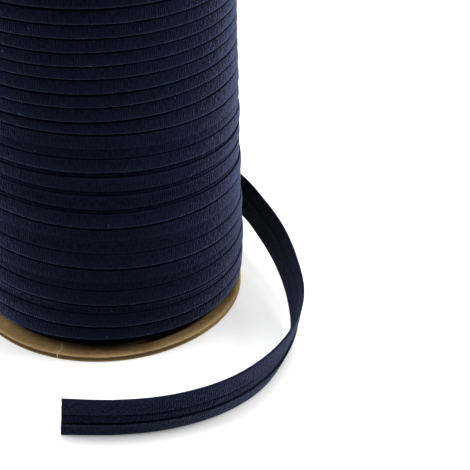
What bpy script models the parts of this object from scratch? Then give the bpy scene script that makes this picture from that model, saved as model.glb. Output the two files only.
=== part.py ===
"""A reel of folded bias tape that stands on its lower flange, with its loose end looped round it.

Metres, +Z up. The origin is on the floor, on the reel's axis. -Y is the front.
Angles round the reel are zero at the front and grow towards +X.
"""

import math
from collections import namedtuple

import bmesh
import bpy
from mathutils import Vector

MM = 0.001

# The reel
REEL_HEIGHT = 150 * MM
FLANGE_RADIUS = 53.5 * MM
FLANGE_THICKNESS = 2.5 * MM
FLANGE_SIDES = 96
FLANGE_WORN_EDGE = 0.3 * MM
FLANGE_SHARP_ANGLE = math.radians(30)
SEAT_GAP = 0.3 * MM

ROLL_FOOT = FLANGE_THICKNESS + SEAT_GAP
ROLL_HEAD = REEL_HEIGHT - FLANGE_THICKNESS - SEAT_GAP

# The folded tape
TAPE_WIDTH = 20 * MM
TAPE_THICKNESS = 1.2 * MM
LOWER_FLAP = 6.0 * MM
UPPER_FLAP = 8.0 * MM
FLAP_STEP = 0.35 * MM
FLAP_EDGE = 0.4 * MM
TAPE_SHARP_ANGLE = math.radians(40)

# The wound tape
SEGMENTS_PER_TURN = 40
WRAP_LAP = 1.0 * MM
WRAP_LIP = 0.5 * MM
WRAP_GROOVE = 0.3 * MM
MERGE_DISTANCE = 0.02 * MM
LOW_SLANT = 1.45 * MM
LOW_SLANT_STARTS = (10 * MM, 17 * MM)
LOW_SLANT_FADES = (45 * MM, 58 * MM)

# The most of a narrow wrap's lead that its lip and its flap edges may take up
LIP_SHARE = 0.15
LOWER_FLAP_SHARE = 0.50
GAP_START_SHARE = 0.60
GAP_END_SHARE = 0.90

# The height of each wrap's lower edge where it passes the front. They are far apart low down, where
# each wrap shows its whole face, and close together above, where each covers most of the one below.
SPREAD_EDGES = (10.6, 16.2, 25.8, 41.5, 58.2, 79.9)
CLOSE_EDGES = (94.4, 99.0, 104.1, 109.0, 114.1, 118.7, 123.4, 128.1, 132.9, 138.2, 143.0)
WRAP_EDGES_AT_FRONT = [z * MM for z in SPREAD_EDGES + CLOSE_EDGES]

TURNS = len(WRAP_EDGES_AT_FRONT) + 1

# How the lowest wrap's edge comes up off the board, as (turn, height). The layers that show under it
# are set back, and swell out to the outer wraps' girth over the last part of the first turn.
FOOT_RISE = ((0.0, ROLL_FOOT), (1.0, ROLL_FOOT), (1.25, 7.4 * MM))
UNDER_LAYERS_SWELL = (0.78, 1.0)

# The radius over the outermost wraps, at heights above the floor
Girth = namedtuple("Girth", "height radius")
GIRTHS = [
    Girth(2.3 * MM, 49.5 * MM),
    Girth(5.0 * MM, 52.3 * MM),
    Girth(9.5 * MM, 53.9 * MM),
    Girth(21.5 * MM, 54.5 * MM),
    Girth(43.0 * MM, 53.8 * MM),
    Girth(64.0 * MM, 53.3 * MM),
    Girth(86.0 * MM, 52.8 * MM),
    Girth(107.0 * MM, 52.1 * MM),
    Girth(128.0 * MM, 51.8 * MM),
    Girth(147.7 * MM, 51.5 * MM),
]
UNDER_GIRTHS = [Girth(2.3 * MM, 46.5 * MM), Girth(11.0 * MM, 49.5 * MM)]

# The loose end: where its lower edge runs in plan, how high that edge is off the floor, and how far
# the strip leans towards the reel, in degrees. It starts against the wound tape at the back.
Station = namedtuple("Station", "x y foot lean")
STATIONS = [
    Station(-19.1 * MM, 52.6 * MM, 24.5 * MM, 0.0),
    Station(-2.0 * MM, 55.9 * MM, 23.0 * MM, 0.0),
    Station(14.5 * MM, 54.1 * MM, 21.0 * MM, 0.0),
    Station(29.5 * MM, 48.8 * MM, 18.5 * MM, 1.0),
    Station(44.0 * MM, 39.0 * MM, 15.8 * MM, 2.0),
    Station(57.0 * MM, 22.7 * MM, 12.7 * MM, 2.0),
    Station(63.4 * MM, 5.5 * MM, 9.9 * MM, -1.5),
    Station(67.6 * MM, -11.1 * MM, 7.2 * MM, -4.4),
    Station(69.4 * MM, -28.5 * MM, 4.4 * MM, -6.2),
    Station(68.5 * MM, -46.1 * MM, 1.6 * MM, -8.4),
    Station(62.1 * MM, -62.4 * MM, 0.0, -10.7),
    Station(51.0 * MM, -77.6 * MM, 0.0, -11.2),
    Station(35.7 * MM, -88.1 * MM, 0.0, -13.0),
    Station(17.9 * MM, -93.5 * MM, 0.0, -13.3),
    Station(-0.2 * MM, -93.9 * MM, 0.0, -13.3),
    Station(-18.3 * MM, -91.5 * MM, 0.0, -12.0),
]
STEPS_BETWEEN_STATIONS = 4

KRAFT_BOARD = ((0.45, 0.30, 0.17, 1.0), 0.85)
NAVY_TAPE = ((0.010, 0.013, 0.035, 1.0), 0.90)


def clear_scene():
    for thing in list(bpy.data.objects):
        bpy.data.objects.remove(thing, do_unlink=True)


def make_material(name, colour, roughness):
    material = bpy.data.materials.new(name)
    material.use_nodes = True
    shader = material.node_tree.nodes["Principled BSDF"]
    shader.inputs["Base Color"].default_value = colour
    shader.inputs["Roughness"].default_value = roughness
    shader.inputs["Metallic"].default_value = 0.0
    return material


def finish_object(mesh_builder, name, material, sharp_angle):
    """Makes an object of a bmesh, with its normals outward and its round faces smooth."""
    bmesh.ops.recalc_face_normals(mesh_builder, faces=mesh_builder.faces)
    mesh = bpy.data.meshes.new(name)
    mesh_builder.to_mesh(mesh)
    mesh_builder.free()
    mesh.materials.append(material)
    mesh.shade_smooth()
    mesh.set_sharp_from_angle(angle=sharp_angle)
    thing = bpy.data.objects.new(name, mesh)
    bpy.context.collection.objects.link(thing)
    return thing


def lookup(table, at):
    """The straight-line value at a place, from a list of (place, value) rows in rising order."""
    if at <= table[0][0]:
        return table[0][1]
    for (low, before), (high, after) in zip(table, table[1:]):
        if at <= high:
            return before + (after - before) * (at - low) / (high - low)
    return table[-1][1]


def ease(value, low, high):
    """Rises smoothly from 0 at low to 1 at high."""
    share = min(max((value - low) / (high - low), 0.0), 1.0)
    return share * share * (3 - 2 * share)


def make_flange(name, base_height, material):
    """A round board with slightly worn edges."""
    builder = bmesh.new()
    bmesh.ops.create_cone(
        builder,
        cap_ends=True,
        segments=FLANGE_SIDES,
        radius1=FLANGE_RADIUS,
        radius2=FLANGE_RADIUS,
        depth=FLANGE_THICKNESS,
    )
    rims = [e for e in builder.edges if abs(e.verts[0].co.z - e.verts[1].co.z) < FLANGE_THICKNESS / 2]
    bmesh.ops.bevel(builder, geom=rims, offset=FLANGE_WORN_EDGE, segments=1, affect="EDGES")
    flange = finish_object(builder, name, material, FLANGE_SHARP_ANGLE)
    flange.location.z = base_height + FLANGE_THICKNESS / 2
    return flange


def wrap_edge(turn):
    """The height of the winding's lower edge after a number of turns that start at the back."""
    rows = [*FOOT_RISE]
    rows += [(1.5 + k, z) for k, z in enumerate(WRAP_EDGES_AT_FRONT)]
    rows += [(float(TURNS + 1), ROLL_HEAD)]
    height = lookup(rows, turn)
    angle = math.pi - math.tau * turn
    slant = LOW_SLANT * ease(height, *LOW_SLANT_STARTS) * (1 - ease(height, *LOW_SLANT_FADES))
    return min(max(height - slant * math.sin(angle), ROLL_FOOT), ROLL_HEAD)


def flap_relief(above_edge):
    """How far the tape's face is set back, that far above its lower edge, between its two flaps."""
    into_gap = ease(above_edge, LOWER_FLAP, LOWER_FLAP + FLAP_EDGE)
    out_of_gap = ease(above_edge, TAPE_WIDTH - UPPER_FLAP - FLAP_EDGE, TAPE_WIDTH - UPPER_FLAP)
    return FLAP_STEP * (into_gap - out_of_gap)


def wrap_column(turn):
    """Heights and radii up one wrap, from its lower edge to just under the next wrap's edge."""
    low = wrap_edge(turn)
    lead = wrap_edge(turn + 1) - low
    rises = [
        0.0,
        min(WRAP_LIP, LIP_SHARE * lead),
        min(LOWER_FLAP, LOWER_FLAP_SHARE * lead),
        min(LOWER_FLAP + FLAP_EDGE, GAP_START_SHARE * lead),
        min(TAPE_WIDTH - UPPER_FLAP, GAP_END_SHARE * lead),
    ]
    swell = ease(turn, *UNDER_LAYERS_SWELL)
    column = []
    for row, rise in enumerate(rises):
        height = low + rise
        girth = swell * lookup(GIRTHS, height) + (1 - swell) * lookup(UNDER_GIRTHS, height)
        radius = girth - WRAP_LAP * rise / max(lead, WRAP_LIP)
        radius -= WRAP_LAP + WRAP_GROOVE if row == 0 else flap_relief(rise)
        column.append((height, radius))
    return column


def make_tape_roll(material):
    """The wound tape: one skin of overlapping slanted wraps, closed flat at its foot and head."""
    builder = bmesh.new()
    last_step = TURNS * SEGMENTS_PER_TURN
    head_row = [(ROLL_HEAD, lookup(GIRTHS, ROLL_HEAD))]
    grid = []
    for step in range(last_step + SEGMENTS_PER_TURN + 1):
        turn = step / SEGMENTS_PER_TURN
        angle = math.pi - math.tau * turn
        column = wrap_column(turn) if step < last_step else head_row
        grid.append(
            [builder.verts.new((r * math.sin(angle), -r * math.cos(angle), z)) for z, r in column]
        )
    for step in range(last_step):
        next_turn = step + SEGMENTS_PER_TURN
        left = grid[step] + [grid[next_turn][0]]
        right = grid[step + 1] + [grid[next_turn + 1][0]]
        if len(right) < len(left):
            right = [right[0]] * (len(left) - 1) + [right[-1]]
        for row in range(len(left) - 1):
            corners = []
            for corner in (left[row], right[row], right[row + 1], left[row + 1]):
                if corner not in corners:
                    corners.append(corner)
            builder.faces.new(corners)
    bmesh.ops.remove_doubles(builder, verts=builder.verts, dist=MERGE_DISTANCE)
    bmesh.ops.dissolve_degenerate(builder, edges=builder.edges, dist=MERGE_DISTANCE / 2)
    open_edges = [e for e in builder.edges if e.is_boundary]
    bmesh.ops.holes_fill(builder, edges=open_edges, sides=0)
    bmesh.ops.triangulate(builder, faces=builder.faces)
    return finish_object(builder, "tape_roll", material, TAPE_SHARP_ANGLE)


def smooth_stations():
    """The loose end's stations with a smooth curve through them, as rows of x, y, foot and lean."""
    rows = [Vector(s) for s in STATIONS]
    ends = [2 * rows[0] - rows[1]] + rows + [2 * rows[-1] - rows[-2]]
    path = []
    for before, start, end, after in zip(ends, ends[1:], ends[2:], ends[3:]):
        for step in range(STEPS_BETWEEN_STATIONS):
            t = step / STEPS_BETWEEN_STATIONS
            path.append(
                0.5
                * (
                    2 * start
                    + t * (end - before)
                    + t * t * (2 * before - 5 * start + 4 * end - after)
                    + t ** 3 * (3 * start - before - 3 * end + after)
                )
            )
    path.append(rows[-1])
    return path


def tape_section():
    """The folded tape's outline: how far out of its middle plane, and how far up its width."""
    back = -TAPE_THICKNESS / 2
    face = TAPE_THICKNESS / 2
    gap_low = LOWER_FLAP
    gap_high = TAPE_WIDTH - UPPER_FLAP
    return [
        (back, 0.0),
        (face, 0.0),
        (face, gap_low),
        (face - FLAP_STEP, gap_low + FLAP_EDGE),
        (face - FLAP_STEP, gap_high - FLAP_EDGE),
        (face, gap_high),
        (face, TAPE_WIDTH),
        (back, TAPE_WIDTH),
    ]


def make_loose_tape(material):
    """The free end: a folded strip on its edge, swept along its stations."""
    builder = bmesh.new()
    path = smooth_stations()
    section = tape_section()
    rings = []
    for index, (x, y, foot, lean_degrees) in enumerate(path):
        before = path[max(index - 1, 0)]
        after = path[min(index + 1, len(path) - 1)]
        along = Vector((after[0] - before[0], after[1] - before[1], 0)).normalized()
        inward = Vector((along.y, -along.x, 0))
        lean = math.radians(lean_degrees)
        up_strip = inward * math.sin(lean) + Vector((0, 0, math.cos(lean)))
        outward = Vector((0, 0, math.sin(lean))) - inward * math.cos(lean)
        ring = []
        for out, up in section:
            place = Vector((x, y, 0)) + outward * out + up_strip * up
            place.z = max(foot, 0.0) if up == 0 else place.z + max(foot, 0.0)
            ring.append(builder.verts.new(place))
        rings.append(ring)
    count = len(section)
    for ring, next_ring in zip(rings, rings[1:]):
        for k in range(count):
            other = (k + 1) % count
            builder.faces.new((ring[k], ring[other], next_ring[other], next_ring[k]))
    builder.faces.new(rings[0])
    builder.faces.new(rings[-1])
    return finish_object(builder, "loose_tape", material, TAPE_SHARP_ANGLE)


def main():
    clear_scene()
    board = make_material("kraft_board", *KRAFT_BOARD)
    tape = make_material("navy_tape", *NAVY_TAPE)
    make_flange("flange_bottom", 0.0, board)
    make_flange("flange_top", REEL_HEIGHT - FLANGE_THICKNESS, board)
    make_tape_roll(tape)
    make_loose_tape(tape)


main()
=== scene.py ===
"""A reel of navy folded bias tape with its loose end looped round it.

Metres, +Z up. The origin is on the floor, on the reel's axis, and -Y is the front.
Angles round the reel are zero at the front and grow towards +X. The winding starts at the
back, comes round +X to the front and rises as it goes, and its turns are counted from there.
"""

import math
from collections import namedtuple

import bmesh
import bpy
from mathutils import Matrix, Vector, noise


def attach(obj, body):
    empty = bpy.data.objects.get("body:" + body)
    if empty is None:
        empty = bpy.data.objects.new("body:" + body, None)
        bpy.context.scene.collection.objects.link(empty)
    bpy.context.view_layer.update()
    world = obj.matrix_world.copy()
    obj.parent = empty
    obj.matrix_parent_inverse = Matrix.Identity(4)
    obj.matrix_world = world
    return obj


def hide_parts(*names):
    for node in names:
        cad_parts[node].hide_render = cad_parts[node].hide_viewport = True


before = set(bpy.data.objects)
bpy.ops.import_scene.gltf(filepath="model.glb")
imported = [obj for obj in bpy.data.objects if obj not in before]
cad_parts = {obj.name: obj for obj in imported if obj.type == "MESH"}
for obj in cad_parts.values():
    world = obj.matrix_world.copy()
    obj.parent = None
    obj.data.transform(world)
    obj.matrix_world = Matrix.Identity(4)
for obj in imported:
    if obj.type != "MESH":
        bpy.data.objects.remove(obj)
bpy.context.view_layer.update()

MM = 0.001

# The two round boards of the reel
REEL_HEIGHT = 150 * MM
BOARD_RADIUS = 53.5 * MM
BOARD_THICKNESS = 2.5 * MM
BOARD_SIDES = 256
BOARD_SOFT_EDGE = 0.45 * MM
BOARD_EDGE_STEPS = 3
BOARD_RINGS = (1.5 * MM, 3.0 * MM, 6.0 * MM, 12.0 * MM, 16.0 * MM)
BOARD_WAVINESS = 0.12 * MM
BOARD_WAVE_SIZE = 0.03
BOARD_WAVY_FROM = 0.9 * BOARD_RADIUS
BOARD_SMOOTH_UNDER = math.radians(35)
FLAT_OVER = 0.999
SEAT_GAP = 0.3 * MM

# The roll's shade on the board under it: from full to none over these radii, less far out at
# the sides by a share of the distance from the middle, and with a dark crevice at the right
ROLL_SHADE_REACH = (45.5 * MM, 52.6 * MM)
SIDE_LIGHT = 0.075
CREVICE_REACH = (48.2 * MM, 49.7 * MM)
CREVICE_SIDE = (0.0, 15 * MM)

# The paler rim, which is worn and has a painted highlight, and the dark cut side, which is the raw
# board's colour and painted shade. The heights are shares of the board's thickness, and the cut
# side grows lighter towards the right.
RIM_REACH = (51.9 * MM, 53.0 * MM)
RIM_HEIGHT = (0.75, 0.9)
RIM_PALE_SHARE = 0.25
EDGE_REACH = (BOARD_RADIUS - 0.4 * MM, BOARD_RADIUS)
EDGE_TOP = (0.95, 0.75)
EDGE_FOOT = (0.0, 0.5)
EDGE_FADE = (52 * MM, 20 * MM)

FLECK_SHARE = 0.6
BOARD_RELIEF = 0.15 * MM
BOARD_RELIEF_SHARE = 0.5
BOARD_ROUGHNESS = 0.78
BOARD_ROUGHNESS_SPREAD = 0.1
BOARD_SHINE = 0.12

# A scratch across the lower board: its angle, how it sways as it goes out, how wide it is to
# its soft edge and in its core, where it fades in and how strong it is
SCRATCH_ANGLE = math.radians(-23.0)
SCRATCH_SWAY = math.radians(0.75)
SCRATCH_BEND = 48.6 * MM
SCRATCH_WAVE = 1.6 * MM
SCRATCH_WIDTH = 0.32 * MM
SCRATCH_CORE = 0.3 * SCRATCH_WIDTH
SCRATCH_REACH = (46.5 * MM, 48.0 * MM)
SCRATCH_SHARE = 0.6

ROLL_FOOT = BOARD_THICKNESS + SEAT_GAP
ROLL_HEAD = REEL_HEIGHT - BOARD_THICKNESS - SEAT_GAP

# The wound tape. Each wrap's lower fold laps over the wrap below it.
STEPS_PER_TURN = 160
WRAP_LAP = 0.40 * MM
FOLD_ROUND = 0.35 * MM
FOLD_ANGLES = (-30, 15, 50, 90)
PANEL_CROWN = 0.12 * MM
PANEL_SHARES = (0.12, 0.4, 0.65, 0.88)
WEB_STEP = 0.30 * MM
WEB_FACE = 0.9 * WEB_STEP
WEB_SHARES = (0.3, 0.7)
UPPER_FLAP_SHARES = (0.15, 0.6)
CHANGE_OVER = 0.14
SHARP_FOLD = math.radians(50)
MERGE_UNDER = 0.004 * MM
SLIVER_UNDER = 0.002 * MM

# The gaps in a wrap's face. A wide one is shallower, with a raised floor between two grooves,
# and each kind of wide gap has its own shade on that floor.
TROUGH_DEPTH = 1.25 * MM
TROUGH_WALL = 0.05 * MM
TROUGH_FLOOR = 0.9
WIDE_TROUGH = 1.0 * MM
WIDE_TROUGH_DEPTH = 0.80 * MM
WIDE_TROUGH_EDGE = 0.40 * MM
WIDE_TROUGH_HEAD = 0.75 * MM
WIDE_TROUGH_FLOOR = 0.75
SLIT_SHADE = 0.50
UPPER_SHADE = 0.57
GAP_SHADE = 0.50
WALL_RUB_AND_HIGHLIGHT = 0.5
WALL_SHADE = 0.2
UNDER_FOLD_SHADE = 0.8

# Faces shaded more than this on average get a duller copy of the cloth, as painted shade
SHADED_MATERIAL_OVER = 0.58

# How much wear and painted highlight lighten a wrap just over its fold and its upper raw edge,
# and the loose end's raw edges and flaps
PANEL_RUB_AND_HIGHLIGHT = 0.4
UPPER_RUB_AND_HIGHLIGHT = 0.3
RAW_EDGE_RUB_AND_HIGHLIGHT = 0.8
FLAP_RUB_AND_HIGHLIGHT = 0.15

# How far the edges stray from an even line, over what length, and a lane of the noise for each
EDGE_WANDER = 0.22 * MM
FLAP_WANDER = 0.25 * MM
WANDER_SIZE = 0.035
WANDER_SEED = 0.37
FOLD_LANE = 1.0
WRAP_FLAP_LANE = 4.0
WRAP_UPPER_LANE = 7.0
LOWER_FLAP_LANE = 11.0
UPPER_FLAP_LANE = 14.0
CUT_LANE = 19.0

# One row for each wrap where it passes the front, in millimetres: the height of its lower
# fold, how much steeper it runs there than round the back, the width of the dark gap under
# that fold, how far up the lower flap's raw edge is, how wide the slit over it is, how far up
# the upper flap's raw edge is, and how wide the gap under that is. HIDDEN is an edge that the
# next wrap covers. The first wrap passes the front at FIRST_PASS turns.
HIDDEN = 40.0
Wrap = namedtuple("Wrap", "fold slant gap flap slit upper shade")
WRAPS = (
    Wrap(10.6, 0.0, 0.7, HIDDEN, 0.4, HIDDEN, 0.3),
    Wrap(16.2, 1.6, 0.9, 5.6, 0.42, HIDDEN, 0.3),
    Wrap(25.8, 1.5, 0.8, 6.0, 0.42, 9.7, 0.3),
    Wrap(41.5, 1.4, 1.0, 5.5, 0.36, 11.3, 0.3),
    Wrap(58.2, 0.0, 1.0, 5.6, 1.7, 14.4, 1.9),
    Wrap(79.9, -0.1, 2.2, 4.9, 0.45, 8.7, 0.3),
    Wrap(94.4, 1.3, 0.9, HIDDEN, 0.4, HIDDEN, 0.3),
    Wrap(99.0, 0.2, 1.0, HIDDEN, 0.4, HIDDEN, 0.3),
    Wrap(104.1, 0.1, 0.65, HIDDEN, 0.4, HIDDEN, 0.3),
    Wrap(109.0, 0.0, 1.0, HIDDEN, 0.4, HIDDEN, 0.3),
    Wrap(114.1, 0.0, 0.7, HIDDEN, 0.4, HIDDEN, 0.3),
    Wrap(118.7, 0.1, 0.75, HIDDEN, 0.4, HIDDEN, 0.3),
    Wrap(123.4, 0.0, 0.75, HIDDEN, 0.4, HIDDEN, 0.3),
    Wrap(128.1, 0.1, 0.75, HIDDEN, 0.4, HIDDEN, 0.3),
    Wrap(132.9, 0.1, 0.8, HIDDEN, 0.4, HIDDEN, 0.3),
    Wrap(138.2, 0.1, 1.1, HIDDEN, 0.4, HIDDEN, 0.3),
    Wrap(143.0, 0.0, 0.8, HIDDEN, 0.4, HIDDEN, 0.3),
)
FIRST_PASS = 1.5
TURNS = len(WRAPS) + 1

# How the lowest wrap's fold comes up off the board, as (turn, height), the turns over which
# the layers under it swell to the full radius, and how shaded they are before that
FOOT_RISE = ((1.0, ROLL_FOOT), (1.25, 7.4 * MM))
UNDER_LAYERS_SWELL = (0.78, 1.0)
UNDER_SHADE = 1.0

# The heights between which a wrap is quite free to slant and stray, and a turn's least rise
FREE_OVER = 10 * MM
FREE_UNDER = ROLL_HEAD - 5 * MM
LEAST_LEAD = 0.01 * MM

# The radius over the outermost wraps, and of the layers that show under the lowest fold
Girth = namedtuple("Girth", "height radius")
GIRTHS = [
    Girth(2.3 * MM, 49.5 * MM),
    Girth(5.0 * MM, 52.3 * MM),
    Girth(9.5 * MM, 53.9 * MM),
    Girth(21.5 * MM, 54.5 * MM),
    Girth(43.0 * MM, 53.8 * MM),
    Girth(64.0 * MM, 53.3 * MM),
    Girth(86.0 * MM, 52.8 * MM),
    Girth(107.0 * MM, 52.1 * MM),
    Girth(128.0 * MM, 51.8 * MM),
    Girth(147.7 * MM, 51.5 * MM),
]
UNDER_GIRTHS = [Girth(2.3 * MM, 46.5 * MM), Girth(11.0 * MM, 49.5 * MM)]

# The loose end, in millimetres: where its lower edge runs in plan, how high that edge is off
# the floor, how far the strip leans towards the reel in degrees, or away from it below zero,
# and how far its foot curls in under it. It starts against the wound tape at the back left and
# ends at its straight cut.
Station = namedtuple("Station", "x y foot lean curl")
STATIONS = (
    Station(-46.0, 29.5, 26.0, 0.0, 0.0),
    Station(-33.8, 43.4, 25.4, 0.0, 0.0),
    Station(-19.1, 52.6, 24.5, 0.0, 0.0),
    Station(-2.0, 55.9, 23.0, 0.0, 0.0),
    Station(14.5, 54.1, 21.0, 0.0, 0.0),
    Station(29.5, 48.8, 18.5, 1.0, 0.0),
    Station(44.0, 39.0, 15.8, 2.0, 0.0),
    Station(57.0, 22.7, 12.7, 2.0, 0.0),
    Station(63.4, 5.5, 9.9, -1.5, 0.0),
    Station(67.6, -11.1, 7.2, -4.4, 0.3),
    Station(69.4, -28.5, 4.4, -6.2, 0.6),
    Station(68.5, -46.1, 1.6, -8.4, 1.2),
    Station(62.1, -62.4, 0.0, -10.7, 1.3),
    Station(51.0, -77.6, 0.0, -11.2, 0.8),
    Station(35.7, -88.1, 0.0, -13.0, 0.7),
    Station(17.9, -93.5, 0.0, -13.3, 0.8),
    Station(-0.2, -93.9, 0.0, -13.3, 0.4),
    Station(-18.3, -91.5, 0.0, -12.0, 0.2),
)
STEPS_BETWEEN_STATIONS = 16

# The folded tape's section: the cloth and its two flaps, folded to the face turned outwards
TAPE_WIDTH = 20 * MM
CLOTH_THICKNESS = 0.38 * MM
TAPE_FOLD_ROUND = 0.30 * MM
FOLD_STEPS = 6
LOWER_FLAP = 6.5 * MM
UPPER_FLAP = 7.8 * MM
LOWER_FLAP_LIFT = 0.25 * MM
UPPER_FLAP_LIFT = 0.08 * MM
FLAP_ROWS = 6

# The foot's curl fades out over this share of the width. The first stretch lies on the roll
# and has its finish, and the plain inner face is on this side of the cloth's middle line.
CURL_SHARE = 0.45
HELD_LENGTH = 75 * MM
PLAIN_SIDE = -1

# The straight cut: how ragged it is, and how far on it reaches at the foot and at the top
CUT_UNEVENNESS = 0.15 * MM
CUT_UNEVENNESS_SIZE = 2 * MM
CUT_SLANT = 1.7 * MM
CUT_TOP_SLANT = -0.7 * MM

# The cloth under the flaps, and next to their raw edges: (distance up from the edge, how far
# in it dips, shade)
UNDER_FLAP_SHADE = 0.3
UNDER_FLAP_SHARES = (0.25, 0.5, 0.75)
LOWER_LINE = (
    (-0.3 * MM, 0.0, 0.9),
    (0.15 * MM, 0.0, 1.0),
    (0.4 * MM, 0.0, 0.6),
    (0.65 * MM, 0.0, 0.1),
)
UPPER_LINE = (
    (-1.75 * MM, 0.0, 0.0),
    (-1.5 * MM, 0.12 * MM, 0.8),
    (-1.1 * MM, 0.18 * MM, 1.0),
    (-0.7 * MM, 0.18 * MM, 1.0),
    (0.4 * MM, 0.0, 1.0),
)

NAVY = (0.0001, 0.0003, 0.0017, 1.0)
NAVY_LIGHT = (0.0050, 0.0060, 0.0165, 1.0)
# Worn cloth with a painted highlight, on the folds and raw edges
NAVY_WORN_AND_HIGHLIGHT = (0.009, 0.0115, 0.027, 1.0)
# Painted shade in the gaps, under the folds and flaps, and on the layers under the lowest fold
NAVY_GAP_SHADE = (0.0001, 0.0005, 0.0040, 1.0)
NAVY_LINT = (0.07, 0.08, 0.13, 1.0)
NAVY_SHEEN = (0.47, 0.58, 1.0, 1.0)
KRAFT = (0.385, 0.252, 0.110, 1.0)
KRAFT_DARK = (0.22, 0.135, 0.050, 1.0)
KRAFT_PALE = (0.42, 0.31, 0.175, 1.0)
KRAFT_EDGE = (0.07, 0.042, 0.017, 1.0)
KRAFT_SHADE = (0.003, 0.0012, 0.0005, 1.0)
KRAFT_SCRATCH = (0.62, 0.50, 0.34, 1.0)

# The cloth's finishes. The rib and the relief are in metres, sheen is how strong the nap is,
# and lint is the share of specks that show. The shaded one is the same cloth with less sheen,
# as painted shade in deep gaps and on the loose end's inner face.
Finish = namedtuple("Finish", "name rib relief sheen lint")
WOUND_NAVY = Finish("wound_navy", 0.80 * MM, 0.14 * MM, 0.49, 0.015)
LOOSE_NAVY = Finish("loose_navy", 0.75 * MM, 0.20 * MM, 0.32, 0.008)
SHADED_NAVY = Finish("shaded_navy", 0.75 * MM, 0.14 * MM, 0.13, 0.004)
NAP_ROUGHNESS = 0.31
CLOTH_ROUGHNESS = 0.80
CLOTH_ROUGHNESS_SPREAD = 0.12
CLOTH_SHINE = 0.01
WEAR_AND_HIGHLIGHT_SHARE = 0.7

# The weave: slubs that bend its ribs and threads, streaky yarn, fuzz on it and a broad mottle.
# A scale is in specks to the metre.
RIB_WIDTH = 0.6 * MM
THREAD_WIDTH = 0.4 * MM
THREAD_SHARE = 0.35
RIB_SWING = 0.36
SLUB_SCALE = 700.0
SLUB_WOBBLE = 0.15 * MM
YARN_SCALE = 1500.0
YARN_STRETCH = (1.0, 0.32, 1.0)
FUZZ_SCALE = 1900.0
MOTTLE_SCALE = 90.0
YARN_SPREAD = (0.36, 0.64)
RIB_HEIGHT, YARN_HEIGHT, FUZZ_HEIGHT = 0.60, 0.60, 0.25
RIB_TONE, YARN_TONE, FUZZ_TONE, MOTTLE_TONE = 0.45, 0.28, 0.20, 0.20
WEAVE_SPREAD = (0.28, 0.85)

LINT_SCALE = 650.0
LINT_SIZE = 0.15
LINT_SHARE = 0.02

# The board's long fibres, broad clouds and small grit
FIBRE_SCALE = 520.0
FIBRE_STRETCH = (1.0, 5.0, 2.0)
FIBRE_ROUGHNESS = 0.75
CLOUD_SCALE = 60.0
GRIT_SCALE = 1500.0
GRIT_HEIGHT = 0.4
FIBRE_TONE, CLOUD_TONE = 0.6, 0.4
BOARD_SPREAD = (0.40, 0.60)
FLECK_SPREAD = (0.66, 0.74)

# The light: where each lamp is, what it is aimed at, its size in metres and its power in watts
Lamp = namedtuple("Lamp", "name place aim size watts")
LAMPS = (
    Lamp("overhead", (0.22, 0.1, 1.25), (0.05, 0, 0.0), (1.0, 1.2), 19.5),
    Lamp("right", (1.15, -0.1, 0.55), (0, 0, 0.05), (0.8, 0.8), 18.0),
    Lamp("left", (-1.0, -0.05, 0.9), (0, 0, 0.06), (0.8, 0.8), 14.0),
)
STUDIO_GLOW = 0.16
WHITE = (1.0, 1.0, 1.0, 1.0)

FLOOR_SIZE = 6.0
FLOOR_WHITE = (0.90, 0.90, 0.90, 1.0)
FLOOR_ROUGHNESS = 0.9
FLOOR_GLOW = 0.03

# The camera, from the photograph's framing
CAMERA_PLACE = (0.0, -0.4187, 0.2904)
CAMERA_PITCH = math.radians(32.92)
CAMERA_YAW = math.radians(7.02)
CAMERA_LENS = 95.67
CAMERA_SENSOR = 36.0
CAMERA_CLIP = 20.0


def ease(value, low, high):
    """Rises smoothly from 0 at low to 1 at high."""
    share = min(max((value - low) / (high - low), 0.0), 1.0)
    return share * share * (3 - 2 * share)


def lookup(table, at):
    """The straight-line value at a place, from a list of (place, value) rows in rising order."""
    if at <= table[0][0]:
        return table[0][1]
    for (low, before), (high, after) in zip(table, table[1:]):
        if at <= high:
            return before + (after - before) * (at - low) / (high - low)
    return table[-1][1]


def wander(along, lane, size):
    """A smooth uneven value from about -1 to 1 that changes over a length along the tape."""
    return noise.noise(Vector((along / size, lane, WANDER_SEED)))


def deselect_all():
    bpy.ops.object.select_all(action="DESELECT")


def make_object(name, mesh):
    thing = bpy.data.objects.new(name, mesh)
    bpy.context.scene.collection.objects.link(thing)
    return thing


# Shader nodes


def put(tree, kind, inputs=None, **settings):
    """Adds a node. Inputs go by name or number, and each is a value or another node's output."""
    node = tree.nodes.new(kind)
    for name, value in settings.items():
        setattr(node, name, value)
    for socket, value in (inputs or {}).items():
        if isinstance(value, bpy.types.NodeSocket):
            tree.links.new(value, node.inputs[socket])
        else:
            node.inputs[socket].default_value = value
    return node


def calc(tree, operation, *values):
    """The output of a Math node on values or sockets."""
    node = put(tree, "ShaderNodeMath", dict(enumerate(values)), operation=operation)
    return node.outputs[0]


def blend_colours(tree, share, first, second):
    """The output of a Mix node, whose colours go in at sockets 6 and 7 and come out at 2."""
    node = put(tree, "ShaderNodeMix", data_type="RGBA")
    for socket, value in ((0, share), (6, first), (7, second)):
        if isinstance(value, bpy.types.NodeSocket):
            tree.links.new(value, node.inputs[socket])
        else:
            node.inputs[socket].default_value = value
    return node.outputs[2]


def ramp(tree, value, low, high):
    """A value from 0 to 1 as its input goes from low to high."""
    inputs = {"Value": value, "From Min": low, "From Max": high}
    return put(tree, "ShaderNodeMapRange", inputs, interpolation_type="SMOOTHSTEP").outputs[0]


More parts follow.
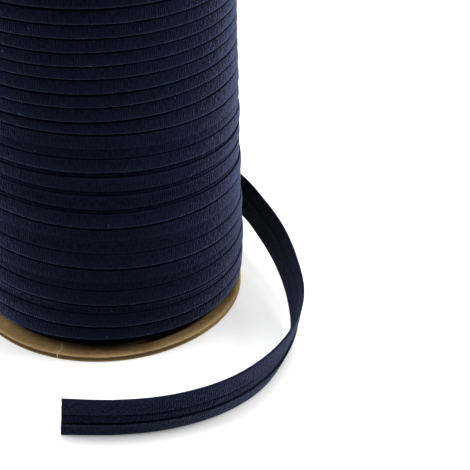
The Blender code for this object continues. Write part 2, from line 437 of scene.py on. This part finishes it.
def new_group(name, inputs, outputs):
    """A shader node group with named number or vector inputs and number outputs."""
    tree = bpy.data.node_groups.new(name, "ShaderNodeTree")
    for socket, value in inputs.items():
        kind = "NodeSocketVector" if value is None else "NodeSocketFloat"
        made = tree.interface.new_socket(socket, in_out="INPUT", socket_type=kind)
        if value is not None:
            made.default_value = value
    for socket in outputs:
        tree.interface.new_socket(socket, in_out="OUTPUT", socket_type="NodeSocketFloat")
    return tree, put(tree, "NodeGroupInput").outputs, put(tree, "NodeGroupOutput").inputs


def grain(tree, place, scale, detail, **inputs):
    """The value of a Noise Texture, with so many specks to the metre."""
    inputs.update({"Vector": place, "Scale": scale, "Detail": detail})
    return put(tree, "ShaderNodeTexNoise", inputs).outputs[0]


def waves(tree, place, width):
    """A sine wave from -1 to 1 along a distance."""
    turns = calc(tree, "DIVIDE", place, width)
    return calc(tree, "SINE", calc(tree, "MULTIPLY", turns, math.tau))


def use_group(tree, group, inputs):
    return put(tree, "ShaderNodeGroup", inputs, node_tree=group).outputs


def rib_weave_group():
    """Fine ribs across the tape over threads along it. The place is in metres along and across."""
    inputs = {"Place": None, "Rib": RIB_WIDTH, "Thread": THREAD_WIDTH, "Wobble": SLUB_WOBBLE}
    tree, given, made = new_group("rib_weave", inputs, ("Height", "Tone"))
    place = put(tree, "ShaderNodeSeparateXYZ", {0: given["Place"]}).outputs
    slub = grain(tree, given["Place"], SLUB_SCALE, 2.0)
    shift = calc(tree, "MULTIPLY", calc(tree, "SUBTRACT", slub, 0.5), given["Wobble"])
    rib = waves(tree, calc(tree, "ADD", place["X"], shift), given["Rib"])
    thread = waves(tree, calc(tree, "ADD", place["Y"], shift), given["Thread"])
    ribs = calc(tree, "MULTIPLY_ADD", thread, THREAD_SHARE, rib)
    ribs = calc(tree, "MULTIPLY_ADD", ribs, RIB_SWING, 0.5)
    inputs = {"Vector": given["Place"], "Scale": YARN_STRETCH}
    streaky = put(tree, "ShaderNodeMapping", inputs).outputs[0]
    yarn = ramp(tree, grain(tree, streaky, YARN_SCALE, 2.0), *YARN_SPREAD)
    fuzz = ramp(tree, grain(tree, given["Place"], FUZZ_SCALE, 2.0), *YARN_SPREAD)
    mottle = grain(tree, given["Place"], MOTTLE_SCALE, 4.0)
    height = calc(tree, "MULTIPLY", ribs, RIB_HEIGHT)
    height = calc(tree, "MULTIPLY_ADD", yarn, YARN_HEIGHT, height)
    height = calc(tree, "MULTIPLY_ADD", fuzz, FUZZ_HEIGHT, height)
    tree.links.new(height, made["Height"])
    tone = calc(tree, "MULTIPLY", yarn, YARN_TONE)
    tone = calc(tree, "MULTIPLY_ADD", ribs, RIB_TONE, tone)
    tone = calc(tree, "MULTIPLY_ADD", fuzz, FUZZ_TONE, tone)
    tone = calc(tree, "MULTIPLY_ADD", mottle, MOTTLE_TONE, tone)
    tree.links.new(ramp(tree, tone, *WEAVE_SPREAD), made["Tone"])
    return tree


def lint_group():
    """Sparse pale specks and short hairs that cling to cloth."""
    inputs = {"Place": None, "Scale": LINT_SCALE, "Size": LINT_SIZE, "Share": LINT_SHARE}
    tree, given, made = new_group("lint", inputs, ("Mask",))
    inputs = {"Vector": given["Place"], "Scale": given["Scale"]}
    cells = put(tree, "ShaderNodeTexVoronoi", inputs)
    pick = put(tree, "ShaderNodeSeparateColor", {0: cells.outputs["Color"]}).outputs[0]
    chosen = calc(tree, "LESS_THAN", pick, given["Share"])
    near = calc(tree, "LESS_THAN", cells.outputs["Distance"], given["Size"])
    tree.links.new(calc(tree, "MULTIPLY", chosen, near), made["Mask"])
    return tree


def fibre_group():
    """The mottle, fibres and flecks of kraft board."""
    tree, given, made = new_group("board_fibre", {"Place": None}, ("Tone", "Fleck", "Height"))
    inputs = {"Vector": given["Place"], "Scale": FIBRE_STRETCH}
    stretched = put(tree, "ShaderNodeMapping", inputs).outputs[0]
    fibre = grain(tree, stretched, FIBRE_SCALE, 6.0, Roughness=FIBRE_ROUGHNESS)
    cloud = grain(tree, given["Place"], CLOUD_SCALE, 3.0)
    grit = grain(tree, given["Place"], GRIT_SCALE, 1.0)
    tone = calc(tree, "MULTIPLY_ADD", fibre, FIBRE_TONE, calc(tree, "MULTIPLY", cloud, CLOUD_TONE))
    tree.links.new(ramp(tree, tone, *BOARD_SPREAD), made["Tone"])
    tree.links.new(ramp(tree, grit, *FLECK_SPREAD), made["Fleck"])
    tree.links.new(calc(tree, "MULTIPLY_ADD", grit, GRIT_HEIGHT, fibre), made["Height"])
    return tree


def navy_material(finish, weave, lint):
    """Ribbed navy cloth with a soft nap, on the tape's own map in metres."""
    material = bpy.data.materials.new(finish.name)
    material.use_nodes = True
    tree = material.node_tree
    shader = tree.nodes["Principled BSDF"]
    place = put(tree, "ShaderNodeUVMap", uv_map="tape_map").outputs[0]
    cloth = use_group(tree, weave, {"Place": place, "Rib": finish.rib})
    specks = use_group(tree, lint, {"Place": place, "Share": finish.lint})
    # Folds and raw edges lightened by wear and by a painted highlight
    fold = put(tree, "ShaderNodeAttribute", attribute_name="fold_wear_and_highlight").outputs["Fac"]
    colour = blend_colours(tree, cloth["Tone"], NAVY, NAVY_LIGHT)
    colour = blend_colours(tree, calc(tree, "MULTIPLY", fold, WEAR_AND_HIGHLIGHT_SHARE), colour, NAVY_WORN_AND_HIGHLIGHT)
    colour = blend_colours(tree, specks["Mask"], colour, NAVY_LINT)
    # Painted shade in the gaps, under the folds and flaps, and on the hidden layers
    shade = put(tree, "ShaderNodeAttribute", attribute_name="gap_shade").outputs["Fac"]
    colour = blend_colours(tree, shade, colour, NAVY_GAP_SHADE)
    tree.links.new(colour, shader.inputs["Base Color"])
    inputs = (cloth["Tone"], CLOTH_ROUGHNESS_SPREAD, CLOTH_ROUGHNESS)
    tree.links.new(calc(tree, "MULTIPLY_ADD", *inputs), shader.inputs["Roughness"])
    inputs = {"Height": cloth["Height"], "Strength": 1.0, "Distance": finish.relief}
    tree.links.new(put(tree, "ShaderNodeBump", inputs).outputs[0], shader.inputs["Normal"])
    shader.inputs["Sheen Weight"].default_value = finish.sheen
    shader.inputs["Sheen Roughness"].default_value = NAP_ROUGHNESS
    shader.inputs["Sheen Tint"].default_value = NAVY_SHEEN
    shader.inputs["Specular IOR Level"].default_value = CLOTH_SHINE
    return material


def scratch_group():
    """A pale wavering scratch across the rim of a board. The angle is zero at the front."""
    tree, given, made = new_group("scratch", {"Place": None}, ("Mask",))
    place = put(tree, "ShaderNodeSeparateXYZ", {0: given["Place"]}).outputs
    front = calc(tree, "MULTIPLY", place["Y"], -1.0)
    angle = calc(tree, "ARCTAN2", place["X"], front)
    side_squared = calc(tree, "POWER", place["X"], 2.0)
    out = calc(tree, "SQRT", calc(tree, "MULTIPLY_ADD", front, front, side_squared))
    wave = calc(tree, "DIVIDE", calc(tree, "SUBTRACT", out, SCRATCH_BEND), SCRATCH_WAVE)
    line = calc(tree, "MULTIPLY_ADD", calc(tree, "SINE", wave), SCRATCH_SWAY, SCRATCH_ANGLE)
    away = calc(tree, "ABSOLUTE", calc(tree, "SUBTRACT", angle, line))
    away = calc(tree, "MULTIPLY", away, out)
    near = ramp(tree, away, SCRATCH_WIDTH, SCRATCH_CORE)
    tree.links.new(calc(tree, "MULTIPLY", near, ramp(tree, out, *SCRATCH_REACH)), made["Mask"])
    return tree


def kraft_material(name, fibre, scratch):
    """Brown kraft board: a worn rim with a painted highlight, a cut side darkened partly by
    painted shade, and painted shade next to the roll.
    """
    material = bpy.data.materials.new(name)
    material.use_nodes = True
    tree = material.node_tree
    shader = tree.nodes["Principled BSDF"]
    place = put(tree, "ShaderNodeTexCoord").outputs["Object"]
    xyz = put(tree, "ShaderNodeSeparateXYZ", {0: place}).outputs
    flat = put(tree, "ShaderNodeCombineXYZ", {"X": xyz["X"], "Y": xyz["Y"]}).outputs[0]
    out = put(tree, "ShaderNodeVectorMath", {0: flat}, operation="LENGTH").outputs["Value"]
    up_side = put(tree, "ShaderNodeAttribute", attribute_name="up_side").outputs["Fac"]
    faces_roll = put(tree, "ShaderNodeAttribute", attribute_name="faces_roll").outputs["Fac"]
    board = use_group(tree, fibre, {"Place": place})
    colour = blend_colours(tree, board["Tone"], KRAFT_DARK, KRAFT)
    # A paler rim: wear and a painted highlight
    rim = calc(tree, "MULTIPLY", ramp(tree, out, *RIM_REACH), ramp(tree, up_side, *RIM_HEIGHT))
    colour = blend_colours(tree, calc(tree, "MULTIPLY", rim, RIM_PALE_SHARE), colour, KRAFT_PALE)
    fleck = calc(tree, "MULTIPLY", board["Fleck"], FLECK_SHARE)
    colour = blend_colours(tree, fleck, colour, KRAFT_DARK)
    # The dark cut side: the raw board's colour and painted shade
    edge = ramp(tree, up_side, *EDGE_TOP)
    edge = calc(tree, "MULTIPLY", edge, ramp(tree, up_side, *EDGE_FOOT))
    edge = calc(tree, "MULTIPLY", edge, ramp(tree, out, *EDGE_REACH))
    edge = calc(tree, "MULTIPLY", edge, ramp(tree, xyz["X"], *EDGE_FADE))
    colour = blend_colours(tree, edge, colour, KRAFT_EDGE)
    # Painted shade of the roll on the board next to it, with a darker crevice at the right
    reach = calc(tree, "MULTIPLY_ADD", calc(tree, "ABSOLUTE", xyz["X"]), SIDE_LIGHT, out)
    crevice = ramp(tree, out, *CREVICE_REACH[::-1])
    crevice = calc(tree, "MULTIPLY", crevice, ramp(tree, xyz["X"], *CREVICE_SIDE))
    shade = calc(tree, "MAXIMUM", ramp(tree, reach, *ROLL_SHADE_REACH[::-1]), crevice)
    shade = calc(tree, "MULTIPLY", shade, faces_roll)
    colour = blend_colours(tree, shade, colour, KRAFT_SHADE)
    mark = use_group(tree, scratch, {"Place": place})["Mask"]
    mark = calc(tree, "MULTIPLY", mark, calc(tree, "LESS_THAN", xyz["Z"], 2 * BOARD_THICKNESS))
    mark = calc(tree, "MULTIPLY", mark, SCRATCH_SHARE)
    colour = blend_colours(tree, mark, colour, KRAFT_SCRATCH)
    tree.links.new(colour, shader.inputs["Base Color"])
    inputs = (board["Tone"], BOARD_ROUGHNESS_SPREAD, BOARD_ROUGHNESS)
    tree.links.new(calc(tree, "MULTIPLY_ADD", *inputs), shader.inputs["Roughness"])
    inputs = {"Height": board["Height"], "Strength": BOARD_RELIEF_SHARE, "Distance": BOARD_RELIEF}
    tree.links.new(put(tree, "ShaderNodeBump", inputs).outputs[0], shader.inputs["Normal"])
    shader.inputs["Specular IOR Level"].default_value = BOARD_SHINE
    return material


# The reel's boards


def faces_where(mesh, test):
    """Selects the faces whose normal passes a test, and nothing else."""
    for vertex in mesh.vertices:
        vertex.select = False
    for edge in mesh.edges:
        edge.select = False
    for face in mesh.polygons:
        face.select = test(face.normal)


def make_board(name, foot, material):
    """A round board with soft rims and a slightly wavy upper edge, marked for its material."""
    deselect_all()
    middle = foot + BOARD_THICKNESS / 2
    bpy.ops.mesh.primitive_cylinder_add(
        vertices=BOARD_SIDES, radius=BOARD_RADIUS, depth=BOARD_THICKNESS, location=(0, 0, middle)
    )
    board = bpy.context.active_object
    board.name = board.data.name = name
    bpy.ops.object.transform_apply(location=True)
    bpy.ops.object.mode_set(mode="EDIT")
    bpy.ops.mesh.select_mode(type="EDGE")
    bpy.ops.mesh.select_all(action="DESELECT")
    bpy.ops.object.mode_set(mode="OBJECT")
    for edge in board.data.edges:
        ends = [board.data.vertices[v].co.z for v in edge.vertices]
        edge.select = abs(ends[0] - ends[1]) < BOARD_THICKNESS / 2
    bpy.ops.object.mode_set(mode="EDIT")
    bpy.ops.mesh.bevel(offset=BOARD_SOFT_EDGE, segments=BOARD_EDGE_STEPS, affect="EDGES")
    bpy.ops.mesh.select_mode(type="FACE")
    for side in (1, -1):
        bpy.ops.mesh.select_all(action="DESELECT")
        bpy.ops.object.mode_set(mode="OBJECT")
        faces_where(board.data, lambda normal: normal.z * side > FLAT_OVER)
        bpy.ops.object.mode_set(mode="EDIT")
        for ring in BOARD_RINGS:
            bpy.ops.mesh.inset(thickness=ring)
    bpy.ops.object.mode_set(mode="OBJECT")
    for vertex in board.data.vertices:
        x, y, z = vertex.co
        lift = BOARD_WAVINESS * noise.noise(Vector((x, y, foot)) / BOARD_WAVE_SIZE)
        if math.hypot(x, y) > BOARD_WAVY_FROM:
            vertex.co.z = z + lift * (z > middle)
    up_side = board.data.attributes.new("up_side", "FLOAT", "POINT")
    faces_roll = board.data.attributes.new("faces_roll", "FLOAT", "POINT")
    roll_above = middle < REEL_HEIGHT / 2
    for vertex in board.data.vertices:
        up_side.data[vertex.index].value = (vertex.co.z - foot) / BOARD_THICKNESS
        faces_roll.data[vertex.index].value = (vertex.co.z > middle) == roll_above
    board.data.materials.append(material)
    deselect_all()
    board.select_set(True)
    bpy.context.view_layer.objects.active = board
    bpy.ops.object.shade_smooth_by_angle(angle=BOARD_SMOOTH_UNDER)
    return board


# The wound tape


def fold_height(turn):
    """The height of the winding's lower fold after a number of turns that start at the back."""
    rows = [(0.0, ROLL_FOOT), *FOOT_RISE]
    rows += [(FIRST_PASS + k, wrap.fold * MM) for k, wrap in enumerate(WRAPS)]
    rows += [(float(TURNS + 1), ROLL_HEAD)]
    slants = [(FIRST_PASS + k, wrap.slant * MM) for k, wrap in enumerate(WRAPS)]
    height = lookup(rows, turn)
    slant = lookup(slants, turn) * math.sin(math.pi - math.tau * turn)
    sway = EDGE_WANDER * wander(turn * math.tau * BOARD_RADIUS, FOLD_LANE, WANDER_SIZE)
    free = ease(height, ROLL_FOOT, FREE_OVER) * (1 - ease(height, FREE_UNDER, ROLL_HEAD))
    return min(max(height + (sway - slant) * free, ROLL_FOOT), ROLL_HEAD)


def wrap_sizes(turn):
    """The wrap's own widths at a turn. One wrap's give way to the next one's at the back."""
    place = min(max(turn - 1.0, 0.0), len(WRAPS) - 1.0)
    before = int(place)
    after = min(before + 1, len(WRAPS) - 1)
    share = ease(place - before, 1 - CHANGE_OVER, 1.0)
    sizes = [a + (b - a) * share for a, b in zip(WRAPS[before][2:], WRAPS[after][2:])]
    return [size * MM for size in sizes]


def trough(start, end, before, after, floor_shade):
    """Rows down into a gap in the face and up again, between the face's depths on its sides.

    Each is how far up the wrap it is, how deep, how much wear and painted highlight, and how much
    painted shade.
    """
    wide = end - start > WIDE_TROUGH
    depth = WIDE_TROUGH_DEPTH if wide else TROUGH_DEPTH
    low_edge = WIDE_TROUGH_EDGE if wide else (end - start) / 3
    high_edge = WIDE_TROUGH_HEAD if wide else (end - start) / 3
    shade = floor_shade if wide else 1.0
    floor = depth * (WIDE_TROUGH_FLOOR if wide else TROUGH_FLOOR)
    return [
        (start, before + TROUGH_WALL, WALL_RUB_AND_HIGHLIGHT, WALL_SHADE),
        (start + TROUGH_WALL, depth, 0.0, 1.0),
        (start + low_edge, floor, 0.0, shade),
        (end - high_edge, floor, 0.0, shade),
        (end - TROUGH_WALL, depth, 0.0, 1.0),
        (end, after + TROUGH_WALL, WALL_RUB_AND_HIGHLIGHT, WALL_SHADE),
    ]


def wrap_section(turn):
    """Height, radius, wear with painted highlight, and painted shade up one wrap, from behind its
    lower fold to the next one.
    """
    low = fold_height(turn)
    lead = max(fold_height(turn + 1) - low, LEAST_LEAD)
    along = turn * math.tau * BOARD_RADIUS
    gap = wrap_sizes(turn + 1)[0]
    _, flap, slit, upper, shade = wrap_sizes(turn)
    flap += FLAP_WANDER * wander(along, WRAP_FLAP_LANE, WANDER_SIZE)
    upper += FLAP_WANDER * wander(along, WRAP_UPPER_LANE, WANDER_SIZE)
    top = max(lead - gap, 0.0)
    panel_end = min(flap, top)
    web_end = min(upper - shade, top)
    rows = [(FOLD_ROUND, TROUGH_DEPTH, 0.0, 1.0)]
    for angle in FOLD_ANGLES:
        turned = math.radians(angle)
        rise = FOLD_ROUND * (1 - math.cos(turned))
        rub_and_highlight = max(math.sin(turned), 0.0)
        depth = FOLD_ROUND * (1 - math.sin(turned))
        rows.append((rise, depth, rub_and_highlight, UNDER_FOLD_SHADE * (1 - rub_and_highlight)))
    for share in PANEL_SHARES:
        rise = FOLD_ROUND + (panel_end - FOLD_ROUND) * share
        crown = PANEL_CROWN * math.sin(math.pi * share)
        rows.append((rise, -crown, PANEL_RUB_AND_HIGHLIGHT * (1 - share), 0.0))
    rows += trough(flap, flap + slit, 0.0, WEB_STEP, SLIT_SHADE)
    for share in WEB_SHARES:
        rise = flap + slit + (web_end - flap - slit) * share
        rows.append((rise, WEB_FACE, 0.0, 0.0))
    rows += trough(upper - shade, upper, WEB_STEP, 0.0, UPPER_SHADE)
    for share in UPPER_FLAP_SHARES:
        rise = upper + (top - upper) * share
        rows.append((rise, -PANEL_CROWN / 2, UPPER_RUB_AND_HIGHLIGHT * (1 - share), 0.0))
    rows = [row if row[0] < top else (top, 0.0, 0.0, 0.0) for row in rows]
    rows += trough(top, lead, 0.0, 0.0, GAP_SHADE)[:-1]
    swell = ease(turn, *UNDER_LAYERS_SWELL)
    column = []
    for rise, depth, rub_and_highlight, shaded in rows:
        height = min(low + rise, ROLL_HEAD)
        under, over = lookup(UNDER_GIRTHS, height), lookup(GIRTHS, height)
        radius = under + (over - under) * swell - depth - WRAP_LAP * min(rise / lead, 1.0)
        column.append((height, radius, rub_and_highlight * swell, max(shaded, UNDER_SHADE * (1 - swell))))
    return column


def make_wound_tape(material, shade_material):
    """The wound tape: one skin of lapped wraps, closed at its foot and head.

    A column of points up each step of the winding is joined to the next step's. Deeply
    shaded faces have the shade material, a duller copy of the cloth as painted shade.
    """
    builder = bmesh.new()
    wear_and_highlight_layer = builder.verts.layers.float.new("fold_wear_and_highlight")
    shade_layer = builder.verts.layers.float.new("gap_shade")
    map_layer = builder.loops.layers.uv.new("tape_map")
    last_step = TURNS * STEPS_PER_TURN
    head_row = [(ROLL_HEAD, lookup(GIRTHS, ROLL_HEAD), 0.0, 0.0)]
    grid = []
    for step in range(last_step + STEPS_PER_TURN + 1):
        turn = step / STEPS_PER_TURN
        angle = math.pi - math.tau * turn
        column = []
        for z, r, wear_and_highlight, shade in wrap_section(turn) if step < last_step else head_row:
            vertex = builder.verts.new((r * math.sin(angle), -r * math.cos(angle), z))
            vertex[wear_and_highlight_layer] = wear_and_highlight
            vertex[shade_layer] = shade
            column.append(vertex)
        grid.append(column)
    step_length = math.tau * BOARD_RADIUS / STEPS_PER_TURN
    for step in range(last_step):
        left = grid[step] + [grid[step + STEPS_PER_TURN][0]]
        right = grid[step + 1] + [grid[step + 1 + STEPS_PER_TURN][0]]
        if len(right) < len(left):
            right = [right[0]] * (len(left) - 1) + [right[-1]]
        for row in range(len(left) - 1):
            places = {}
            for vertex, along in (
                (left[row], step),
                (right[row], step + 1),
                (right[row + 1], step + 1),
                (left[row + 1], step),
            ):
                places.setdefault(vertex, (along * step_length, vertex.co.z))
            face = builder.faces.new(list(places))
            shaded = sum(vertex[shade_layer] for vertex in places) / len(places)
            face.material_index = 1 if shaded > SHADED_MATERIAL_OVER else 0
            for loop, place in zip(face.loops, places.values()):
                loop[map_layer].uv = place
    open_edges = [e for e in builder.edges if e.is_boundary]
    bmesh.ops.holes_fill(builder, edges=open_edges, sides=0)
    bmesh.ops.remove_doubles(builder, verts=builder.verts, dist=MERGE_UNDER)
    bmesh.ops.dissolve_degenerate(builder, edges=builder.edges, dist=SLIVER_UNDER)
    bmesh.ops.recalc_face_normals(builder, faces=builder.faces)
    mesh = bpy.data.meshes.new("wound_tape")
    builder.to_mesh(mesh)
    builder.free()
    mesh.shade_smooth()
    mesh.set_sharp_from_angle(angle=SHARP_FOLD)
    mesh.materials.append(material)
    mesh.materials.append(shade_material)
    return make_object("wound_tape", mesh)


# The loose end


def smooth_stations():
    """Points a few millimetres apart on the smooth curve through the stations, in metres."""
    rows = [Vector(station[:3]).to_4d() for station in STATIONS]
    tilts = [(station.lean, station.curl) for station in STATIONS]
    last = len(STATIONS) - 1
    points = []
    for start in range(last):
        picks = [max(start - 1, 0), start, start + 1, min(start + 2, last)]
        for step in range(STEPS_BETWEEN_STATIONS):
            t = step / STEPS_BETWEEN_STATIONS
            weights = (
                (-t + 2 * t**2 - t**3) / 2,
                (2 - 5 * t**2 + 3 * t**3) / 2,
                (t + 4 * t**2 - 3 * t**3) / 2,
                (-(t**2) + t**3) / 2,
            )
            place = sum((rows[p] * w for p, w in zip(picks, weights)), Vector((0, 0, 0, 0)))
            lean = sum(tilts[p][0] * w for p, w in zip(picks, weights))
            curl = sum(tilts[p][1] * w for p, w in zip(picks, weights))
            points.append((Vector(place[:3]) * MM, math.radians(lean), curl * MM))
    end = STATIONS[-1]
    points.append((Vector(end[:3]) * MM, math.radians(end.lean), end.curl * MM))
    return points


def tape_section(along):
    """The cloth's middle line across the folded tape, from one raw edge to the other.

    Each row is how far up the strip it is, how far out, how much wear and painted highlight, and
    how much painted shade.
    """
    lower = LOWER_FLAP + FLAP_WANDER * wander(along, LOWER_FLAP_LANE, WANDER_SIZE)
    upper_edge = TAPE_WIDTH - UPPER_FLAP
    upper_edge += FLAP_WANDER * wander(along, UPPER_FLAP_LANE, WANDER_SIZE)
    stand = 2 * TAPE_FOLD_ROUND
    foot = CLOTH_THICKNESS / 2
    head = TAPE_WIDTH - CLOTH_THICKNESS / 2
    rows = []
    for row in range(FLAP_ROWS):
        share = 1 - row / FLAP_ROWS
        up = foot + TAPE_FOLD_ROUND + (lower - foot - TAPE_FOLD_ROUND) * share
        rub_and_highlight = RAW_EDGE_RUB_AND_HIGHLIGHT if row == 0 else FLAP_RUB_AND_HIGHLIGHT
        rows.append((up, stand + LOWER_FLAP_LIFT * share**2, rub_and_highlight, 0.0))
    for step in range(FOLD_STEPS + 1):
        turned = math.pi * step / FOLD_STEPS
        up = foot + TAPE_FOLD_ROUND * (1 - math.sin(turned))
        rows.append((up, TAPE_FOLD_ROUND * (1 + math.cos(turned)), 1.0, 0.0))
    web = [(foot + (lower - foot) * s, 0.0, UNDER_FLAP_SHADE) for s in UNDER_FLAP_SHARES]
    web += [(lower + away, dip, shade) for away, dip, shade in LOWER_LINE]
    web += [((lower + upper_edge) / 2, 0.0, 0.0)]
    web += [(upper_edge + away, dip, shade) for away, dip, shade in UPPER_LINE]
    for share in UNDER_FLAP_SHARES:
        web.append((upper_edge + (head - upper_edge) * share, 0.0, UNDER_FLAP_SHADE))
    rows += [(up, -dip, 0.0, shade) for up, dip, shade in web]
    for step in range(FOLD_STEPS + 1):
        turned = math.pi * step / FOLD_STEPS
        up = head - TAPE_FOLD_ROUND * (1 - math.sin(turned))
        rows.append((up, TAPE_FOLD_ROUND * (1 - math.cos(turned)), 1.0, 0.0))
    for row in range(1, FLAP_ROWS + 1):
        share = row / FLAP_ROWS
        up = head - TAPE_FOLD_ROUND - (head - TAPE_FOLD_ROUND - upper_edge) * share
        rub_and_highlight = RAW_EDGE_RUB_AND_HIGHLIGHT if row == FLAP_ROWS else FLAP_RUB_AND_HIGHLIGHT
        rows.append((up, stand + UPPER_FLAP_LIFT * share**2, rub_and_highlight, 0.0))
    return [(up, out - TAPE_FOLD_ROUND, wear_and_highlight, shade) for up, out, wear_and_highlight, shade in rows]


def tape_outline(along):
    """The rows round the cloth: up one side of its middle line and back down the other.

    Each ends with whether it is on the strip's plain back, which faces the reel.
    """
    middle = tape_section(along)
    last = len(middle) - 1
    sides = ([], [])
    for k, (up, out, wear_and_highlight, shade) in enumerate(middle):
        before, after = middle[max(k - 1, 0)], middle[min(k + 1, last)]
        at_back = out < 0 and after[0] > before[0]
        run = Vector((after[0] - before[0], after[1] - before[1])).normalized()
        across = Vector((-run.y, run.x)) * CLOTH_THICKNESS / 2
        for side, sign in zip(sides, (1, -1)):
            plain = at_back and sign == PLAIN_SIDE
            side.append((up + across.x * sign, out + across.y * sign, wear_and_highlight, shade, plain))
    return sides[0] + sides[1][::-1]


def make_loose_tape(material, back_shade_material, held_material):
    """The loose end: folded cloth that stands on its edge in a long curl, first on the roll.

    Also gives its length. Its plain inner face and its deep lines have the back shade material,
    a duller copy of the cloth as painted shade, and its first stretch has the held one.
    """
    builder = bmesh.new()
    wear_and_highlight_layer = builder.verts.layers.float.new("fold_wear_and_highlight")
    shade_layer = builder.verts.layers.float.new("gap_shade")
    map_layer = builder.loops.layers.uv.new("tape_map")
    points = smooth_stations()
    last = len(points) - 1
    travelled = 0.0
    grid = []
    held = []
    for index, (foot, lean, curl) in enumerate(points):
        along = points[min(index + 1, last)][0] - points[max(index - 1, 0)][0]
        along.z = 0.0
        along.normalize()
        inward = Vector((along.y, -along.x, 0.0))
        up_strip = inward * math.sin(lean) + Vector((0, 0, math.cos(lean)))
        outward = Vector((0, 0, math.sin(lean))) - inward * math.cos(lean)
        if index:
            travelled += (foot - points[index - 1][0]).length
        across = 0.0
        column = []
        before = None
        outline = tape_outline(travelled)
        for up, out, wear_and_highlight, shade, _ in outline:
            tucked = max(1 - up / (TAPE_WIDTH * CURL_SHARE), 0.0) ** 2
            place = foot + up_strip * up + outward * (out - curl * tucked)
            if index == last:
                ragged = wander(up, CUT_LANE, CUT_UNEVENNESS_SIZE)
                slant = CUT_SLANT * (1 - up / TAPE_WIDTH) + CUT_TOP_SLANT * up / TAPE_WIDTH
                place += along * (CUT_UNEVENNESS * ragged + slant)
            if before is not None:
                across += (place - before).length
            before = place
            vertex = builder.verts.new(place)
            vertex[wear_and_highlight_layer] = wear_and_highlight
            vertex[shade_layer] = shade
            column.append((vertex, (travelled, across)))
        held.append(travelled < HELD_LENGTH)
        grid.append(column)
    rows = len(grid[0])
    shaded_rows = []
    for row, after in zip(outline, outline[1:] + outline[:1]):
        shaded_rows.append(row[4] and after[4] or (row[3] + after[3]) / 2 > SHADED_MATERIAL_OVER)
    for left, right, on_roll in zip(grid, grid[1:], held):
        for row in range(rows):
            after = (row + 1) % rows
            corners = (left[row], right[row], right[after], left[after])
            face = builder.faces.new([vertex for vertex, _ in corners])
            face.material_index = 1 if shaded_rows[row] else 2 if on_roll else 0
            for loop, (_, place) in zip(face.loops, corners):
                loop[map_layer].uv = place
    for column in (grid[0], grid[-1]):
        for row in range(rows // 2 - 1):
            corners = [column[k] for k in (row, row + 1, rows - 2 - row, rows - 1 - row)]
            face = builder.faces.new([vertex for vertex, _ in corners])
            face.material_index = 1 if column is grid[0] else 0
            for loop, (_, place) in zip(face.loops, corners):
                loop[map_layer].uv = place
    bmesh.ops.recalc_face_normals(builder, faces=builder.faces)
    mesh = bpy.data.meshes.new("loose_bias_tape")
    builder.to_mesh(mesh)
    builder.free()
    mesh.shade_smooth()
    mesh.set_sharp_from_angle(angle=SHARP_FOLD)
    for cloth in (material, back_shade_material, held_material):
        mesh.materials.append(cloth)
    return make_object("loose_bias_tape", mesh), travelled


# The setting


def sweep_material():
    """A white sweep that glows a little, as a lit table does."""
    material = bpy.data.materials.new("white_sweep")
    material.use_nodes = True
    shader = material.node_tree.nodes["Principled BSDF"]
    shader.inputs["Base Color"].default_value = FLOOR_WHITE
    shader.inputs["Roughness"].default_value = FLOOR_ROUGHNESS
    shader.inputs["Emission Color"].default_value = WHITE
    shader.inputs["Emission Strength"].default_value = FLOOR_GLOW
    return material


def make_floor():
    deselect_all()
    bpy.ops.mesh.primitive_plane_add(size=FLOOR_SIZE, location=(0, 0, 0))
    floor = bpy.context.active_object
    floor.name = "floor"
    floor.data.materials.append(sweep_material())


def make_light(name, place, aim, size, watts):
    """A soft rectangular light at a place, turned to what it is aimed at."""
    lamp = bpy.data.lights.new(name, "AREA")
    lamp.shape = "RECTANGLE"
    lamp.size, lamp.size_y = size
    lamp.energy = watts
    light = make_object(name, lamp)
    light.location = place
    light.rotation_euler = (Vector(aim) - Vector(place)).to_track_quat("-Z", "Y").to_euler()


def make_setting():
    """The camera, the floor, the lamps and the pale studio around them."""
    camera = bpy.data.cameras.new("camera")
    camera.lens = CAMERA_LENS
    camera.sensor_width = CAMERA_SENSOR
    camera.clip_end = CAMERA_CLIP
    viewer = make_object("camera", camera)
    viewer.location = CAMERA_PLACE
    viewer.rotation_euler = (math.pi / 2 - CAMERA_PITCH, 0.0, -CAMERA_YAW)
    bpy.context.scene.camera = viewer
    make_floor()
    for lamp in LAMPS:
        make_light(*lamp)
    world = bpy.data.worlds.new("studio")
    world.use_nodes = True
    background = world.node_tree.nodes["Background"]
    background.inputs["Color"].default_value = WHITE
    background.inputs["Strength"].default_value = STUDIO_GLOW
    bpy.context.scene.world = world
    bpy.context.scene.view_settings.view_transform = "Standard"
    bpy.context.scene.view_settings.look = "None"


make_setting()

weave = rib_weave_group()
lint = lint_group()
fibre = fibre_group()
wound_navy = navy_material(WOUND_NAVY, weave, lint)
loose_navy = navy_material(LOOSE_NAVY, weave, lint)
shaded_navy = navy_material(SHADED_NAVY, weave, lint)
kraft = kraft_material("kraft_board", fibre, scratch_group())

for node, foot in (("flange_bottom", 0.0), ("flange_top", REEL_HEIGHT - BOARD_THICKNESS)):
    board = make_board(node.replace("flange", "board"), foot, kraft)
    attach(board, "root")
    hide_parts(node)

wound = make_wound_tape(wound_navy, shaded_navy)
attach(wound, "root")
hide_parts("tape_roll")

loose, loose_length = make_loose_tape(loose_navy, shaded_navy, wound_navy)
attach(loose, "root")
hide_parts("loose_tape")
